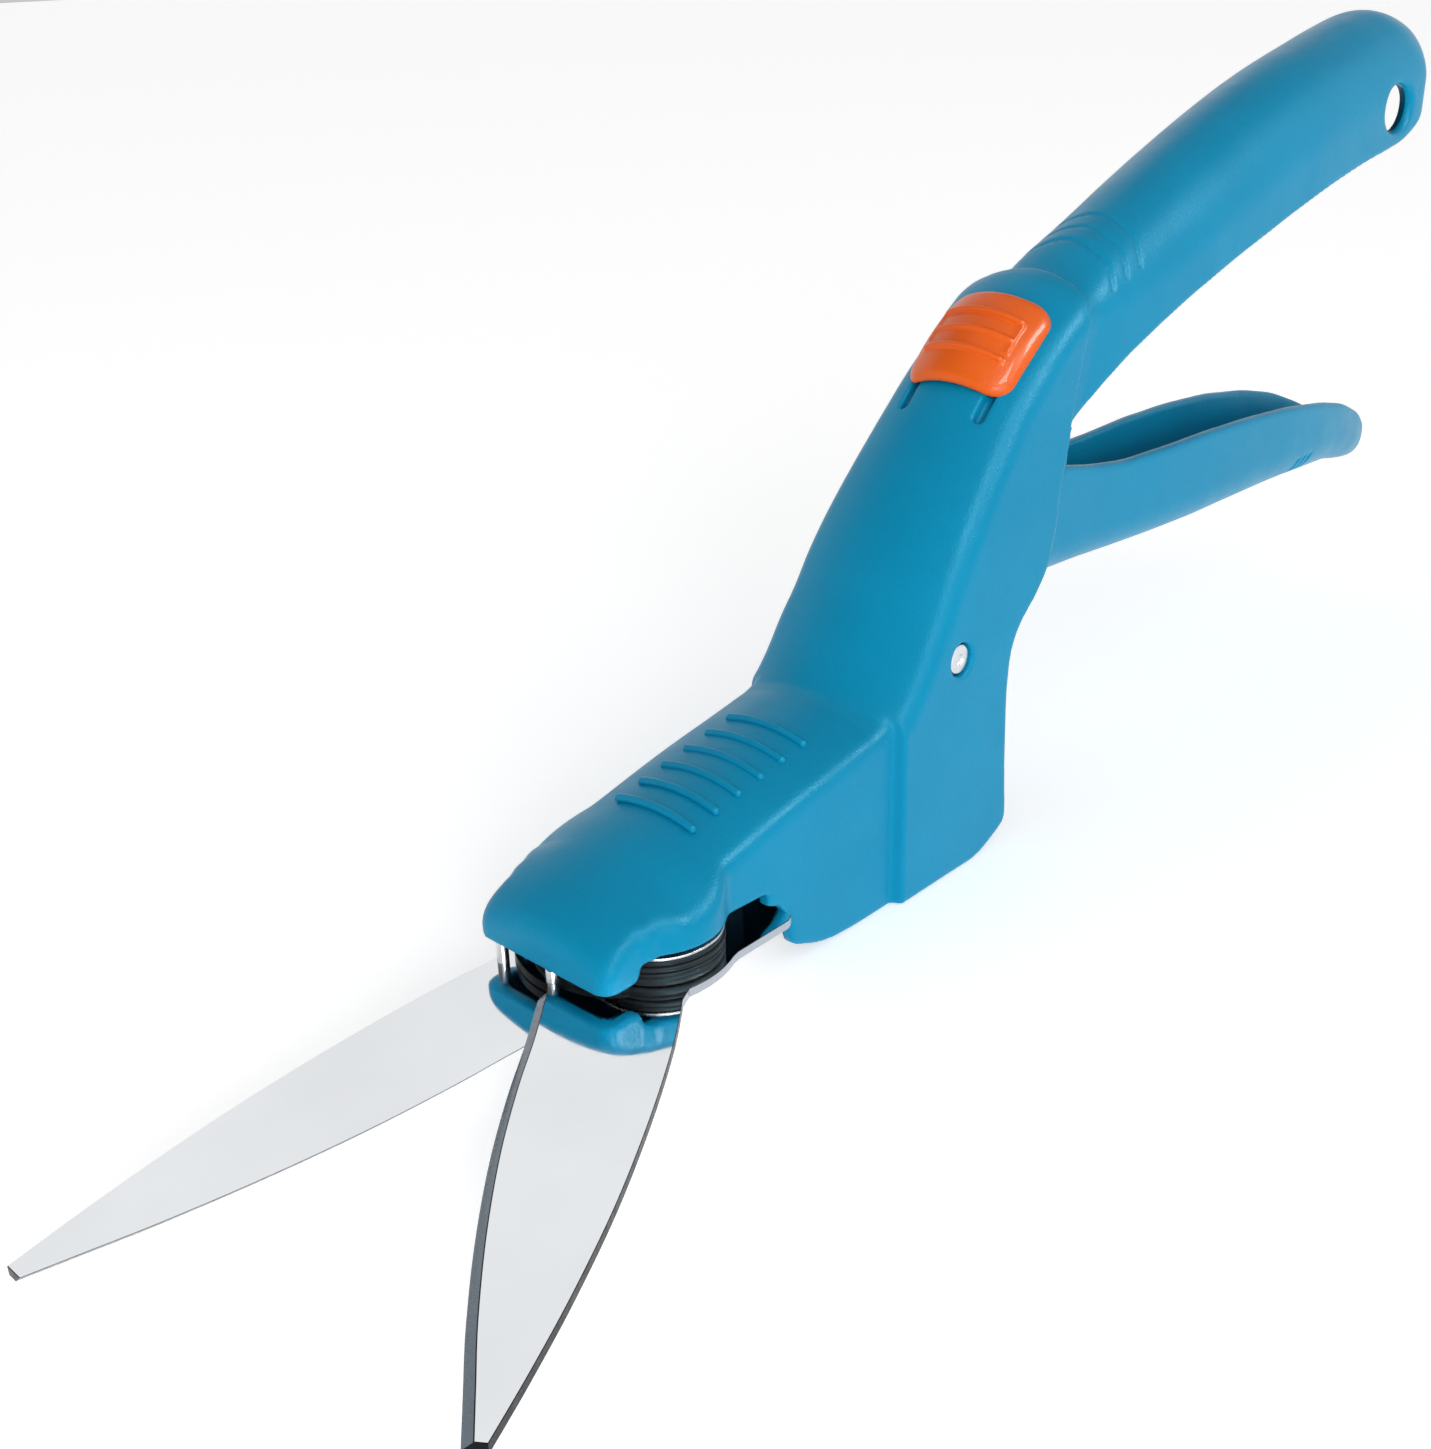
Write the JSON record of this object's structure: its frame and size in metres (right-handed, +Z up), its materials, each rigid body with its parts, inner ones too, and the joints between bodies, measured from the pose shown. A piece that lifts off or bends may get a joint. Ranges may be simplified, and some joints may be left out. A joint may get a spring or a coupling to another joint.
{
  "type": "grass shears",
  "caption": "One-handed grass shears with a fixed and a swinging steel blade, a tall arched plastic handle and a squeeze lever under it",
  "frame": {"origin": "On the axis the upper blade turns about, at the underside of the pivot bolt's head", "axes": "+X forward to the blade tips, +Y to the side the open upper blade swings out to, +Z up towards the handle"},
  "size_m": [0.361, 0.0805, 0.1379],
  "materials": {
    "blue_plastic": "satin moulded blue, fine grain",
    "orange_plastic": "satin moulded orange",
    "black_plastic": "dull black",
    "blade_steel": "polished blade steel",
    "zinc_steel": "bright zinc-plated steel",
    "spring_steel": "bare spring steel"
  },
  "bodies": {
    "housing": {"main_shell": "blue_plastic", "lower_blade": "blade_steel", "closing_stop_pin": "zinc_steel", "pivot_bolt": "zinc_steel", "pivot_bush": "spring_steel", "pivot_washer": "zinc_steel", "pivot_spring_washer": "spring_steel", "pivot_nut": "zinc_steel", "lower_slide_ring": "black_plastic", "upper_slide_ring": "black_plastic", "wave_spring": "spring_steel", "tang_screw_front": "zinc_steel", "tang_screw_rear": "zinc_steel", "tang_clamp": "zinc_steel", "lever_pin": "zinc_steel", "lever_bush_left": "black_plastic", "return_spring": "spring_steel"},
    "moving_blade": {"upper_blade": "blade_steel", "driver_disc": "black_plastic", "heel_pin": "zinc_steel", "crank_pin": "zinc_steel", "crank_collar": "black_plastic", "crank_clip": "spring_steel"},
    "squeeze_lever": {"lever": "blue_plastic", "rod_pin": "zinc_steel"},
    "rod": {"pull_rod": "zinc_steel"},
    "lock": {"lock_slider": "orange_plastic", "lock_bar": "zinc_steel"}
  },
  "joints": [
    {"name": "lever_squeeze", "type": "hinge", "parent": "housing", "child": "squeeze_lever", "pos_m": [-0.0672, 0, 0.03675], "axis": [0, 1, 0], "range_deg": [0, 15], "deforming": ["return_spring"]},
    {"name": "blade_swing", "type": "hinge", "parent": "housing", "child": "moving_blade", "pos_m": [0, 0, 0.00435], "axis": [0, 0, 1], "range_deg": [-36.6, 0]},
    {"name": "rod_pull", "type": "slide", "parent": "housing", "child": "rod", "axis": [1, 0, 0], "range_m": [-0.0061, 0]},
    {"name": "lock_slide", "type": "slide", "parent": "housing", "child": "lock", "axis": [0.788, 0, -0.6157], "range_m": [0, 0.0055]}
  ],
  "couplings": [
    {"joint": "blade_swing", "follows": "lever_squeeze", "ratio": -2.4333},
    {"joint": "rod_pull", "follows": "lever_squeeze", "m_per_rad": -0.02315}
  ]
}
